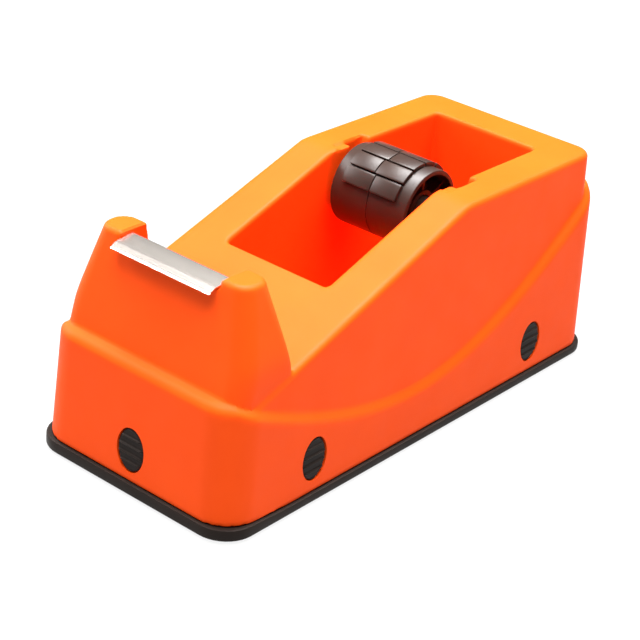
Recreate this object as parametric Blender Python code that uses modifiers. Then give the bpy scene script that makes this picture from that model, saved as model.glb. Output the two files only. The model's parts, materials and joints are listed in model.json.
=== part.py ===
"""Desk tape dispenser: a hollow moulded housing clipped over a weighted base tray.

A serrated blade sits on the tower at the front, between two horns.  Behind it a sloped deck
rises to a flat plateau, and an open well in the deck holds a two-part tape hub that turns on an
axle dropped into two slots.  Six sprung latches stand on the tray, and their ribbed oval heads
fill holes in the housing's skirt.

Frame: the front is at -X, the right-hand side (seen from the front) at -Y, up is +Z, and the
origin lies under the middle of the base, on the surface that the feet stand on.
"""
import math

import bmesh
import bpy

MM = 0.001

# ---- clearances -------------------------------------------------------------------------------
TOUCH_GAP = 0.3 * MM        # between pieces that rest on each other
SLIDE_GAP = 0.4 * MM        # between pieces that slide past each other
LATCH_GAP = 0.45 * MM        # around a latch head in its hole, so that it can swing
HIDDEN_STEP = 0.02 * MM     # keeps joined blocks from sharing a face
OVERLAP = 0.4 * MM          # how far joined shapes sink into each other

# ---- overall sizes ----------------------------------------------------------------------------
LENGTH = 164 * MM
WIDTH = 70 * MM
PLATEAU_HEIGHT = 64.5 * MM
HORN_HEIGHT = 64.9 * MM

# ---- base tray and feet -----------------------------------------------------------------------
FOOT_PROUD = 0.5 * MM
FOOT_RADIUS = 5.5 * MM
FOOT_RECESS = 1 * MM
FOOT_END_SETBACK = 17 * MM
FOOT_SIDE_SETBACK = 14 * MM
TRAY_FLOOR = 2 * MM
RIM_FRONT_HEIGHT = 3.3 * MM
RIM_SIDE_HEIGHT = 2.5 * MM
RIM_FALL_START = 5 * MM       # the rim's top falls between these distances from the front
RIM_FALL_END = 26 * MM
RIM_FALL_STEPS = 6
TRAY_CORNER_RADIUS = 9.3 * MM
LIP_HEIGHT = 3 * MM
LIP_THICKNESS = 1.4 * MM
RIB_THICKNESS = 1.5 * MM
RIB_HEIGHT = 4.5 * MM

# ---- housing: skirt, wave ledge and upper body ------------------------------------------------
WALL = 2.2 * MM
RIM_STEP = 0.8 * MM
SKIRT_CORNER_RADIUS = 10.1 * MM
SKIRT_DRAFT = math.radians(2.0)
WAVE_FRONT_Z = 36.5 * MM
WAVE_LOW_Z = 17.8 * MM
WAVE_BACK_Z = 55 * MM
WAVE_FRONT_SETBACK = 6 * MM
WAVE_LOW_SETBACK = 74 * MM
WAVE_BACK_SETBACK = 4 * MM
WAVE_FRONT_SLOPE = -0.45
WAVE_BACK_SLOPE = 0.745
WAVE_STEPS = 12
BODY_DRAFT = math.radians(1.0)
BODY_SIDE_DRAFT = math.radians(3.0)
BODY_SIDE_INSET = 5.2 * MM
BODY_BACK_SETBACK = 6.7 * MM
BODY_FRONT_SETBACK = 7.5 * MM
BODY_FRONT_RADIUS = 5.7 * MM
BODY_BACK_RADIUS = 5.5 * MM

# ---- housing: tower ---------------------------------------------------------------------------
TOWER_KNEE_Z = 43.5 * MM
TOWER_FOOT_SETBACK = 5.4 * MM   # the tower's front face at the level of the front ledge
TOWER_KNEE_SIDE_INSET = 4.0 * MM
TOWER_TOP_SETBACK = 11.5 * MM
TOWER_TOP_DEPTH = 9 * MM
TOWER_TOP_SIDE_INSET = 10.2 * MM
TOWER_TOP_RADIUS = 4.5 * MM
TOWER_BACK_RADIUS = 1 * MM
HORN_ROUNDING = 1.5 * MM
HORN_TAPER = 0.8            # how far the horns draw in over their rounding
VALLEY_SETBACK = 25.3 * MM
BREAK_AHEAD_OF_HUB = 8.4 * MM
VALLEY_Z = 39.7 * MM

# ---- housing: well and axle slots -------------------------------------------------------------
WELL_WIDTH = 35.3 * MM
WELL_FRONT_SETBACK = 52.6 * MM
WELL_BACK_SETBACK = 20 * MM
WELL_FLOOR_Z = 11 * MM
WELL_FLOOR = 1.8 * MM
WELL_CORNER_RADIUS = 2 * MM
SLOT_DEPTH = 2.6 * MM
SLOT_LEAN = math.radians(18)
SLOT_RAMP_LENGTH = 5 * MM
SLOT_RAMP_DEPTH = 0.9 * MM

# ---- hub and axle -----------------------------------------------------------------------------
HUB_SETBACK = 60 * MM       # axle centre ahead of the back end
HUB_CENTRE_DROP = 10.8 * MM  # axle centre below the plateau
HUB_LENGTH = 26 * MM
HUB_SHIFT = 2 * MM          # the hub rests nearer to the left wall of the well
HUB_DRUM_RADIUS = 11.9 * MM
HUB_PAD_RADIUS = 13.2 * MM
HUB_DRUM_WALL = 1.5 * MM
HUB_SLEEVE_WALL = 1.3 * MM
HUB_PAD_LENGTH = 9.2 * MM
HUB_PAD_PITCH = math.radians(24)
HUB_PAD_SLIT = 0.7 * MM
HUB_PADS_IN_ROW = 5
HUB_ROW_START = math.radians(39)
HUB_ROW_SPACING = math.radians(220)
HUB_SPOKES = 6
HUB_SPOKE_THICKNESS = 1 * MM
HUB_SPOKE_RECESS = 2.5 * MM
HUB_SPIGOT_LENGTH = 3 * MM
HUB_STEPS = 48              # flats round the drum
AXLE_RADIUS = 3.7 * MM

# ---- blade ------------------------------------------------------------------------------------
BLADE_WIDTH = 33.6 * MM
BLADE_THICKNESS = 0.5 * MM
BLADE_PLATE_DEPTH = 6.3 * MM
BLADE_PLATE_DROP = 0.7 * MM
BLADE_TOOTH_REACH = 2.3 * MM
BLADE_TOOTH_DROP = 0.6 * MM
BLADE_TOOTH_PITCH = 1.1 * MM
BLADE_TOOTH_DEPTH = 0.8 * MM
BLADE_BACK_SETBACK = 16.1 * MM
BLADE_BELOW_HORNS = 1.8 * MM
BLADE_FLANGE = 3 * MM

# ---- latches ----------------------------------------------------------------------------------
LATCH_THICKNESS = 1.3 * MM
LATCH_TONGUE_WIDTH = 8.4 * MM
LATCH_TONGUE_HEIGHT = 17 * MM
LATCH_HEAD_WIDTH = 8.8 * MM
LATCH_HEAD_HEIGHT = 12 * MM
LATCH_HEAD_CLEAR = 3 * MM   # between a head's lower edge and the level of the front rim
LATCH_FLUSH = 0.2 * MM      # the head's face lies this far inside the skirt's surface
LATCH_GROOVE_DEPTH = 0.5 * MM
LATCH_GROOVE_WIDTH = 0.8 * MM
LATCH_GROOVES = 4
LATCH_SIDE_SETBACK = 33.4 * MM

# ---- ballast ----------------------------------------------------------------------------------
BALLAST_END_CLEAR = 10.5 * MM
BALLAST_SIDE_CLEAR = 10 * MM
BALLAST_BLOCK_LENGTH = 37 * MM
BALLAST_BLOCK_HEIGHT = 25 * MM
BALLAST_PLATE_LENGTH = 88 * MM
BALLAST_SPACING = 7 * MM

# ---- values worked out from the sizes above ---------------------------------------------------
FRONT = -LENGTH / 2
BACK = LENGTH / 2
TRAY_BOTTOM_Z = FOOT_PROUD
TRAY_FLOOR_Z = TRAY_BOTTOM_Z + TRAY_FLOOR
RIM_FRONT_Z = TRAY_BOTTOM_Z + RIM_FRONT_HEIGHT
RIM_SIDE_Z = TRAY_BOTTOM_Z + RIM_SIDE_HEIGHT
LIP_Z = RIM_SIDE_Z + LIP_HEIGHT
SKIRT_Z = RIM_SIDE_Z + TOUCH_GAP
HUB_X = BACK - HUB_SETBACK
HUB_Z = PLATEAU_HEIGHT - HUB_CENTRE_DROP
WELL_FRONT_X = FRONT + WELL_FRONT_SETBACK
WELL_BACK_X = BACK - WELL_BACK_SETBACK
SLOT_HALF_WIDTH = AXLE_RADIUS + TOUCH_GAP
SLOT_REACH = WELL_WIDTH / 2 + SLOT_DEPTH
VALLEY_X = FRONT + VALLEY_SETBACK
BREAK_X = HUB_X - BREAK_AHEAD_OF_HUB
TOWER_TOP_FRONT_X = FRONT + TOWER_TOP_SETBACK
TOWER_TOP_BACK_X = TOWER_TOP_FRONT_X + TOWER_TOP_DEPTH
BLADE_BACK_X = FRONT + BLADE_BACK_SETBACK
BLADE_TOP_Z = HORN_HEIGHT - BLADE_BELOW_HORNS
BLADE_LIFT = BLADE_THICKNESS + TOUCH_GAP
HORN_INNER_Y = BLADE_WIDTH / 2 + TOUCH_GAP
HINGE_Z = TRAY_FLOOR_Z + TOUCH_GAP + LATCH_THICKNESS / 2
LATCH_HEAD_Z = RIM_FRONT_Z + LATCH_HEAD_CLEAR + LATCH_HEAD_HEIGHT / 2
FAR = LENGTH + WIDTH        # well outside the object, for cutters that pass right through it


# ---- scene helpers ----------------------------------------------------------------------------
def clear_scene():
    for item in list(bpy.data.objects):
        bpy.data.objects.remove(item, do_unlink=True)


def make_collection(name):
    collection = bpy.data.collections.new(name)
    bpy.context.scene.collection.children.link(collection)
    return collection


def plastic_or_metal(name, colour, roughness, metallic=0.0):
    material = bpy.data.materials.new(name)
    material.use_nodes = True
    shader = material.node_tree.nodes["Principled BSDF"]
    shader.inputs["Base Color"].default_value = (*colour, 1)
    shader.inputs["Roughness"].default_value = roughness
    shader.inputs["Metallic"].default_value = metallic
    material.diffuse_color = (*colour, 1)
    return material


clear_scene()
PARTS = make_collection("tape_dispenser")
CUTTERS = make_collection("cutters")
ORANGE = plastic_or_metal("orange_plastic", (0.93, 0.12, 0.015), 0.45)
DARK = plastic_or_metal("dark_plastic", (0.035, 0.028, 0.027), 0.4)
STEEL = plastic_or_metal("blade_steel", (0.62, 0.62, 0.6), 0.3, 1.0)
RUBBER = plastic_or_metal("rubber", (0.02, 0.02, 0.02), 0.8)
IRON = plastic_or_metal("cast_iron", (0.06, 0.06, 0.065), 0.6, 0.8)


def as_part(shape, name, material):
    """Turn a working shape into a named piece of the object."""
    shape.name = name
    shape.data.name = name
    CUTTERS.objects.unlink(shape)
    PARTS.objects.link(shape)
    shape.hide_render = False
    shape.display_type = "TEXTURED"
    shape.data.materials.clear()
    shape.data.materials.append(material)
    return shape


def shape_from_mesh(name, mesh):
    shape = bpy.data.objects.new(name, mesh)
    CUTTERS.objects.link(shape)
    shape.hide_render = True
    shape.display_type = "WIRE"
    return shape


def shape_from_bmesh(name, bm):
    mesh = bpy.data.meshes.new(name)
    bmesh.ops.recalc_face_normals(bm, faces=bm.faces)
    bm.to_mesh(mesh)
    bm.free()
    return shape_from_mesh(name, mesh)


def settled(name, shape):
    """A plain mesh of a shape with its joins and cuts, which can then be placed anywhere."""
    bpy.context.view_layer.update()
    evaluated = shape.evaluated_get(bpy.context.evaluated_depsgraph_get())
    mesh = bpy.data.meshes.new_from_object(evaluated)
    mesh.transform(evaluated.matrix_world)
    return shape_from_mesh(name, mesh)


def combine(target, other, operation):
    modifier = target.modifiers.new(f"{operation.lower()} {other.name}", "BOOLEAN")
    modifier.operation = operation
    modifier.solver = "EXACT"
    modifier.object = other
    return target


def cut(target, *cutters):
    for cutter in cutters:
        combine(target, cutter, "DIFFERENCE")
    return target


def join(target, *others):
    for other in others:
        combine(target, other, "UNION")
    return target


# ---- shape helpers ----------------------------------------------------------------------------
def box(name, low, high):
    bm = bmesh.new()
    bmesh.ops.create_cube(bm, size=1)
    size = [b - a for a, b in zip(low, high)]
    centre = [(a + b) / 2 for a, b in zip(low, high)]
    bmesh.ops.scale(bm, vec=size, verts=bm.verts)
    bmesh.ops.translate(bm, vec=centre, verts=bm.verts)
    return shape_from_bmesh(name, bm)


def flat_plate(name, outline, thickness, rotation=(0, 0, 0)):
    """A flat outline, extruded evenly to both sides of its plane."""
    curve = bpy.data.curves.new(name, "CURVE")
    curve.dimensions = "2D"
    curve.fill_mode = "BOTH"
    curve.extrude = thickness / 2
    spline = curve.splines.new("POLY")
    spline.points.add(len(outline) - 1)
    for point, (across, up) in zip(spline.points, outline):
        point.co = (across, up, 0, 1)
    spline.use_cyclic_u = True
    flat = bpy.data.objects.new(name, curve)
    flat.rotation_euler = rotation
    bpy.context.scene.collection.objects.link(flat)
    bpy.context.view_layer.update()
    evaluated = flat.evaluated_get(bpy.context.evaluated_depsgraph_get())
    mesh = bpy.data.meshes.new_from_object(evaluated)
    place = flat.matrix_world.copy()
    bpy.data.objects.remove(flat, do_unlink=True)
    bm = bmesh.new()
    bm.from_mesh(mesh)
    bmesh.ops.remove_doubles(bm, verts=bm.verts, dist=0.001 * MM)
    bmesh.ops.recalc_face_normals(bm, faces=bm.faces)
    bm.to_mesh(mesh)
    bm.free()
    shape = shape_from_mesh(name, mesh)
    shape.matrix_world = place
    return shape


def side_plate(name, outline, thickness):
    """An outline in X and Z, extruded evenly to both sides of the plane Y = 0."""
    return flat_plate(name, outline, thickness, (math.radians(90), 0, 0))


def turned(name, profile, steps):
    """A closed profile of (radius, along) points, turned about the Y axis.

    The profile runs towards +Y along its outer side.
    """
    bm = bmesh.new()
    points = [bm.verts.new((radius, 0, -along)) for radius, along in profile]
    for start, end in zip(points, points[1:] + points[:1]):
        bm.edges.new((start, end))
    mesh = bpy.data.meshes.new(name)
    bm.to_mesh(mesh)
    bm.free()
    shape = shape_from_mesh(name, mesh)
    shape.rotation_euler = (math.radians(90), 0, 0)
    screw = shape.modifiers.new("turn", "SCREW")
    screw.axis = "Z"
    screw.steps = steps
    screw.render_steps = steps
    screw.use_merge_vertices = True
    screw.merge_threshold = 0.001 * MM
    return shape


def loft(name, rings):
    """Skin between rings of points that all have the same count, closed at both ends."""
    bm = bmesh.new()
    loops = [[bm.verts.new(point) for point in ring] for ring in rings]
    count = len(loops[0])
    for lower, upper in zip(loops, loops[1:]):
        for i in range(count):
            j = (i + 1) % count
            bm.faces.new((lower[i], lower[j], upper[j], upper[i]))
    bm.faces.new(reversed(loops[0]))
    bm.faces.new(loops[-1])
    return shape_from_bmesh(name, bm)


def rounded_ring(front_x, back_x, half_width, front_radius, back_radius, z, steps=6):
    """A rectangle in plan with round corners, as a ring of points at height z."""
    corners = [
        (back_x - back_radius, half_width - back_radius, back_radius, 0),
        (front_x + front_radius, half_width - front_radius, front_radius, 90),
        (front_x + front_radius, -half_width + front_radius, front_radius, 180),
        (back_x - back_radius, -half_width + back_radius, back_radius, 270),
    ]
    ring = []
    for centre_x, centre_y, radius, start in corners:
        for step in range(steps + 1):
            angle = math.radians(start + 90 * step / steps)
            ring.append((centre_x + radius * math.cos(angle), centre_y + radius * math.sin(angle), z))
    return ring


def plan_block(name, inset, radius, low_z, high_z):
    """A block with the base's rounded plan, drawn in by inset from the tray's outer edge."""
    rings = [
        rounded_ring(FRONT + inset, BACK - inset, WIDTH / 2 - inset, radius, radius, z)
        for z in (low_z, high_z)
    ]
    return loft(name, rings)


# ---- housing ----------------------------------------------------------------------------------
def skirt_inset(z):
    return RIM_STEP + (z - SKIRT_Z) * math.tan(SKIRT_DRAFT)


def body_half_width(z):
    return WIDTH / 2 - BODY_SIDE_INSET + (PLATEAU_HEIGHT - z) * math.tan(BODY_SIDE_DRAFT)


def body_front_x(z):
    return FRONT + BODY_FRONT_SETBACK - (TOWER_KNEE_Z - z) * math.tan(BODY_DRAFT)


def tower_front_x(z):
    """The tower's front face is one plane, from the front ledge to the horns."""
    share = (z - WAVE_FRONT_Z) / (HORN_HEIGHT - WAVE_FRONT_Z)
    return FRONT + TOWER_FOOT_SETBACK + (TOWER_TOP_SETBACK - TOWER_FOOT_SETBACK) * share


def body_back_x(z):
    return BACK - BODY_BACK_SETBACK + (PLATEAU_HEIGHT - z) * math.tan(BODY_DRAFT)


def tower_back_x(z):
    """The tower's back face runs straight from the valley to the horns."""
    share = (z - VALLEY_Z) / (HORN_HEIGHT - VALLEY_Z)
    return VALLEY_X + (TOWER_TOP_BACK_X - VALLEY_X) * share


def deck_z(x):
    share = (x - VALLEY_X) / (BREAK_X - VALLEY_X)
    return VALLEY_Z + (PLATEAU_HEIGHT - VALLEY_Z) * min(share, 1)


def hermite(start, end, start_slope, end_slope, share):
    (x0, z0), (x1, z1) = start, end
    run = x1 - x0
    rise = (
        (2 * share**3 - 3 * share**2 + 1) * z0
        + (share**3 - 2 * share**2 + share) * run * start_slope
        + (3 * share**2 - 2 * share**3) * z1
        + (share**3 - share**2) * run * end_slope
    )
    return x0 + run * share, rise


def wave_line():
    """The ledge between skirt and upper body, seen from the side, from front to back."""
    front = (FRONT + WAVE_FRONT_SETBACK, WAVE_FRONT_Z)
    low = (FRONT + WAVE_LOW_SETBACK, WAVE_LOW_Z)
    back = (BACK - WAVE_BACK_SETBACK, WAVE_BACK_Z)
    shares = [i / WAVE_STEPS for i in range(WAVE_STEPS + 1)]
    falling = [hermite(front, low, WAVE_FRONT_SLOPE, 0, share) for share in shares]
    rising = [hermite(low, back, 0, WAVE_BACK_SLOPE, share) for share in shares]
    return falling + rising[1:]


def below_rim(name, lift):
    """Everything lower than the rim's top line, which is higher at the front; lifted by lift."""
    high = (FRONT + RIM_FALL_START, RIM_FRONT_Z + lift)
    low = (FRONT + RIM_FALL_END, RIM_SIDE_Z + lift)
    shares = [i / RIM_FALL_STEPS for i in range(RIM_FALL_STEPS + 1)]
    line = [hermite(high, low, 0, 0, share) for share in shares]
    outline = [(-FAR, -FAR), (-FAR, high[1])] + line + [(FAR, low[1]), (FAR, -FAR)]
    return side_plate(name, outline, 2 * FAR)


def skirt_block(name, inset, drop):
    """The drafted skirt up to the wave, drawn in by inset and lowered by drop."""
    top_z = WAVE_BACK_Z + WALL
    rings = []
    for z in (SKIRT_Z - drop, top_z):
        edge = skirt_inset(z) + inset
        radius = SKIRT_CORNER_RADIUS - inset
        rings.append(
            rounded_ring(FRONT + edge, BACK - edge, WIDTH / 2 - edge, radius, radius, z)
        )
    block = loft(name, rings)
    wave = [(x, z - drop) for x, z in wave_line()]
    outline = [(-FAR, -FAR), (-FAR, wave[0][1])] + wave + [(FAR, wave[-1][1]), (FAR, -FAR)]
    return combine(block, side_plate(f"{name} wave", outline, 2 * FAR), "INTERSECT")


def body_block(name, inset, drop):
    """The upper body: drafted sides, cut above by the knee, valley, slope and plateau."""
    rings = []
    for z in (SKIRT_Z - drop, PLATEAU_HEIGHT + WALL):
        rings.append(
            rounded_ring(
                body_front_x(z) + inset,
                body_back_x(z) - inset,
                body_half_width(z) - inset,
                BODY_FRONT_RADIUS - inset,
                BODY_BACK_RADIUS - inset,
                z,
            )
        )
    block = loft(name, rings)
    outline = [
        (-FAR, -FAR),
        (-FAR, TOWER_KNEE_Z - drop),
        (tower_back_x(TOWER_KNEE_Z) - inset, TOWER_KNEE_Z - drop),
        (VALLEY_X, VALLEY_Z - drop),
        (BREAK_X, PLATEAU_HEIGHT - drop),
        (FAR, PLATEAU_HEIGHT - drop),
        (FAR, -FAR),
    ]
    return combine(block, side_plate(f"{name} profile", outline, 2 * FAR), "INTERSECT")


def tower_block(name, inset, top_z):
    """The tower above the knee: every face leans in towards the horns."""
    rings = []
    rounding_z = HORN_HEIGHT - HORN_ROUNDING
    levels = [WAVE_FRONT_Z - 2 * WALL, TOWER_KNEE_Z]
    levels += [rounding_z, HORN_HEIGHT] if top_z >= HORN_HEIGHT else [top_z]
    for z in levels:
        share = max(z - TOWER_KNEE_Z, 0) / (HORN_HEIGHT - TOWER_KNEE_Z)
        shrink = inset + max(z - rounding_z, 0) * HORN_TAPER
        side_inset = TOWER_KNEE_SIDE_INSET + (TOWER_TOP_SIDE_INSET - TOWER_KNEE_SIDE_INSET) * share
        half_width = WIDTH / 2 - side_inset
        front_radius = BODY_FRONT_RADIUS + (TOWER_TOP_RADIUS - BODY_FRONT_RADIUS) * share
        rings.append(
            rounded_ring(
                tower_front_x(z) + shrink,
                tower_back_x(max(z, TOWER_KNEE_Z)) - shrink,
                half_width - shrink,
                max(front_radius - inset, HIDDEN_STEP),
                max(TOWER_BACK_RADIUS - inset, HIDDEN_STEP),
                z,
            )
        )
    return loft(name, rings)


def blade_line(offset):
    """Top line of the blade's plate and tooth strip, lowered by offset: back, bend, tip."""
    bend_x = BLADE_BACK_X - BLADE_PLATE_DEPTH
    return [
        (BLADE_BACK_X, BLADE_TOP_Z - offset),
        (bend_x, BLADE_TOP_Z - BLADE_PLATE_DROP - offset),
        (bend_x - BLADE_TOOTH_REACH, BLADE_TOP_Z - BLADE_PLATE_DROP - BLADE_TOOTH_DROP - offset),
    ]


def blade_seat():
    """The space between the horns: under the blade, over its flange and down the back."""
    back, bend, tip = blade_line(BLADE_LIFT)
    slope = (back[1] - bend[1]) / (back[0] - bend[0])
    slot_back = back[0] + TOUCH_GAP
    slot_front = back[0] - BLADE_LIFT
    slot_floor = back[1] - BLADE_FLANGE
    outline = [
        (-FAR, FAR),
        (-FAR, bend[1] - BLADE_TOOTH_DROP),
        (tip[0], bend[1] - BLADE_TOOTH_DROP),
        (bend[0], bend[1]),
        (slot_front, back[1] - slope * BLADE_LIFT),
        (slot_front, slot_floor),
        (slot_back, slot_floor),
        (slot_back, back[1]),
        (TOWER_TOP_BACK_X + WALL, back[1] - BLADE_FLANGE - WALL),
        (TOWER_TOP_BACK_X + WALL, FAR),
    ]
    return side_plate("blade seat", outline, 2 * HORN_INNER_Y)


def slot_point(sideways, along):
    """A point of the axle slot, from the axle's centre, along the slot's lean."""
    x = HUB_X + sideways * math.cos(SLOT_LEAN) + along * math.sin(SLOT_LEAN)
    z = HUB_Z - sideways * math.sin(SLOT_LEAN) + along * math.cos(SLOT_LEAN)
    return x, z


def axle_slot():
    outline = [slot_point(-SLOT_HALF_WIDTH, FAR), slot_point(SLOT_HALF_WIDTH, FAR)]
    for step in range(9):
        angle = math.pi * step / 8
        outline.append(
            slot_point(SLOT_HALF_WIDTH * math.cos(angle), -SLOT_HALF_WIDTH * math.sin(angle))
        )
    return side_plate("axle slot", outline, 2 * SLOT_REACH)


def slot_ramp():
    """The shallow lead-in ahead of the slot, which guides the axle home."""
    rise = (PLATEAU_HEIGHT - HUB_Z) / math.cos(SLOT_LEAN)
    edge_x, _ = slot_point(-SLOT_HALF_WIDTH, rise)
    start_x = edge_x - SLOT_RAMP_LENGTH
    outline = [
        (start_x, PLATEAU_HEIGHT + WALL),
        (start_x, deck_z(start_x) - SLOT_RAMP_DEPTH / 3),
        (edge_x + SLOT_HALF_WIDTH, PLATEAU_HEIGHT - SLOT_RAMP_DEPTH),
        (edge_x + SLOT_HALF_WIDTH, PLATEAU_HEIGHT + WALL),
    ]
    return side_plate("slot ramp", outline, 2 * SLOT_REACH)


def well_block(name, grow, low_z, high_z):
    rings = [
        rounded_ring(
            WELL_FRONT_X - grow,
            WELL_BACK_X + grow,
            WELL_WIDTH / 2 + grow,
            WELL_CORNER_RADIUS + grow,
            WELL_CORNER_RADIUS + grow,
            z,
        )
        for z in (low_z, high_z)
    ]
    return loft(name, rings)


def slot_boss():
    """Thicker wall behind the two axle slots, on both sides of the well."""
    side = SLOT_REACH + WALL
    reach = SLOT_HALF_WIDTH + WALL + SLOT_RAMP_LENGTH
    low = (HUB_X - reach, -side, HUB_Z - SLOT_HALF_WIDTH - WALL)
    high = (HUB_X + reach + SLOT_RAMP_LENGTH, side, PLATEAU_HEIGHT + WALL)
    return box("slot boss", low, high)


def latch_hole(name, place):
    """An oval tunnel through the skirt, square to its drafted face."""
    outer = LATCH_THICKNESS / 2 + TOUCH_GAP + 2 * WALL
    hole = oval_block(name, LATCH_GAP, outer)
    hole.location, hole.rotation_euler = place
    return hole


def make_housing(latch_places):
    shell = skirt_block("skirt", 0, 0)
    join(shell, body_block("body", 0, 0), tower_block("tower", 0, HORN_HEIGHT))
    room = skirt_block("skirt room", WALL, WALL)
    tower_room_top = HORN_HEIGHT - BLADE_BELOW_HORNS - BLADE_FLANGE - 2 * WALL
    join(room, body_block("body room", WALL, WALL), tower_block("tower room", WALL, tower_room_top))
    room_around_well = well_block("well walls", WALL, WELL_FLOOR_Z - WELL_FLOOR, FAR)
    cut(room, room_around_well, slot_boss())
    cut(shell, room, well_block("well", 0, WELL_FLOOR_Z, FAR))
    cut(shell, axle_slot(), slot_ramp(), blade_seat(), below_rim("rim clearance", TOUCH_GAP))
    for name, place in latch_places.items():
        cut(shell, latch_hole(f"{name} hole", place))
    return as_part(shell, "body_shell", ORANGE)


# ---- base tray, feet and ballast --------------------------------------------------------------
def foot_places():
    for end, x in (("front", FRONT + FOOT_END_SETBACK), ("back", BACK - FOOT_END_SETBACK)):
        for side, y in (("left", 1), ("right", -1)):
            yield f"foot_{end}_{side}", x, y * (WIDTH / 2 - FOOT_SIDE_SETBACK)


def disc(name, radius, low_z, high_z, place=(0, 0)):
    bm = bmesh.new()
    bmesh.ops.create_cone(
        bm, cap_ends=True, segments=32, radius1=radius, radius2=radius, depth=high_z - low_z
    )
    bmesh.ops.translate(bm, vec=(place[0], place[1], (low_z + high_z) / 2), verts=bm.verts)
    return shape_from_bmesh(name, bm)


def ballast_boxes():
    """Lowest and highest corners of the cast block and of the plate under the well."""
    floor_z = TRAY_FLOOR_Z + TOUCH_GAP
    half_width = WIDTH / 2 - BALLAST_SIDE_CLEAR
    block_x = FRONT + BALLAST_END_CLEAR
    plate_x = block_x + BALLAST_BLOCK_LENGTH + BALLAST_SPACING
    plate_top = WELL_FLOOR_Z - WELL_FLOOR - TOUCH_GAP
    block = (
        (block_x, -half_width, floor_z),
        (block_x + BALLAST_BLOCK_LENGTH, half_width, floor_z + BALLAST_BLOCK_HEIGHT),
    )
    plate = (
        (plate_x, -half_width, floor_z),
        (plate_x + BALLAST_PLATE_LENGTH, half_width, plate_top),
    )
    return {"ballast_block": block, "ballast_plate": plate}


def ballast_rib(name, low, high):
    """A low wall on the tray that holds a ballast piece in place."""
    grow = TOUCH_GAP + RIB_THICKNESS
    bottom, top = TRAY_FLOOR_Z - OVERLAP, TRAY_FLOOR_Z + RIB_HEIGHT
    rib = box(name, (low[0] - grow, low[1] - grow, bottom), (high[0] + grow, high[1] + grow, top))
    pocket_low = (low[0] - TOUCH_GAP, low[1] - TOUCH_GAP, bottom - OVERLAP)
    pocket_high = (high[0] + TOUCH_GAP, high[1] + TOUCH_GAP, top + OVERLAP)
    return cut(rib, box(f"{name} pocket", pocket_low, pocket_high))


def latch_pocket(name, place):
    """Room in the tray's rim for a latch's root to bend."""
    half = LATCH_TONGUE_WIDTH / 2 + LATCH_GAP
    outer = LATCH_THICKNESS / 2 + TOUCH_GAP
    low = (-LATCH_TONGUE_WIDTH, -half, -LATCH_THICKNESS / 2 - TOUCH_GAP)
    pocket = box(name, low, (outer, half, LATCH_TONGUE_HEIGHT))
    location, rotation = place
    pocket.location = location
    pocket.rotation_euler = (0, 0, rotation[2])
    return pocket


def make_tray(latch_places):
    tray = plan_block("tray", 0, TRAY_CORNER_RADIUS, TRAY_BOTTOM_Z, RIM_FRONT_Z + OVERLAP)
    combine(tray, below_rim("rim line", 0), "INTERSECT")
    lip_inset = RIM_STEP + WALL + SLIDE_GAP
    lip_radius = SKIRT_CORNER_RADIUS - WALL - SLIDE_GAP
    lip = plan_block("lip", lip_inset, lip_radius, TRAY_FLOOR_Z - OVERLAP, LIP_Z)
    pan_inset = lip_inset + LIP_THICKNESS
    pan_radius = lip_radius - LIP_THICKNESS
    pan = plan_block("pan", pan_inset, pan_radius, TRAY_FLOOR_Z, LIP_Z + LIP_HEIGHT)
    cut(join(tray, lip), pan)
    for name, (low, high) in ballast_boxes().items():
        join(tray, ballast_rib(f"{name} rib", low, high))
    for name, place in latch_places.items():
        cut(tray, latch_pocket(f"{name} pocket", place))
    recess_top = TRAY_BOTTOM_Z + FOOT_RECESS
    for name, x, y in foot_places():
        cut(tray, disc(f"{name} recess", FOOT_RADIUS + TOUCH_GAP, -OVERLAP, recess_top, (x, y)))
    return as_part(tray, "base_tray", DARK)


def make_feet():
    foot_top = TRAY_BOTTOM_Z + FOOT_RECESS - TOUCH_GAP
    for name, x, y in foot_places():
        foot = disc(name, FOOT_RADIUS, 0, foot_top)
        foot.location = (x, y, 0)
        as_part(foot, name, RUBBER)


def make_ballast():
    for name, (low, high) in ballast_boxes().items():
        as_part(box(name, low, high), name, IRON)


# ---- latches ----------------------------------------------------------------------------------
def latch_layout():
    """Each latch's hinge point and turn; its own +X points out through the skirt."""
    inset = skirt_inset(HINGE_Z) + WALL + TOUCH_GAP + LATCH_THICKNESS / 2
    side_x = (FRONT + LATCH_SIDE_SETBACK, BACK - LATCH_SIDE_SETBACK)
    side_y = WIDTH / 2 - inset
    spots = {
        "latch_front": (FRONT + inset, 0, 180),
        "latch_back": (BACK - inset, 0, 0),
        "latch_left_front": (side_x[0], side_y, 90),
        "latch_left_back": (side_x[1], side_y, 90),
        "latch_right_front": (side_x[0], -side_y, 270),
        "latch_right_back": (side_x[1], -side_y, 270),
    }
    places = {}
    for name, (x, y, turn) in spots.items():
        places[name] = ((x, y, HINGE_Z), (0, -SKIRT_DRAFT, math.radians(turn)))
    return places


def oval_block(name, grow, outer):
    """An oval prism from a latch's middle out through the skirt, in the latch's own frame."""
    bm = bmesh.new()
    bmesh.ops.create_cone(bm, cap_ends=True, segments=32, radius1=0.5, radius2=0.5, depth=1)
    for vert in bm.verts:
        across, up, along = vert.co
        vert.co = (
            (along + 0.5) * outer,
            across * (LATCH_HEAD_WIDTH + 2 * grow),
            up * (LATCH_HEAD_HEIGHT + 2 * grow) + LATCH_HEAD_Z - HINGE_Z,
        )
    return shape_from_bmesh(name, bm)


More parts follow.
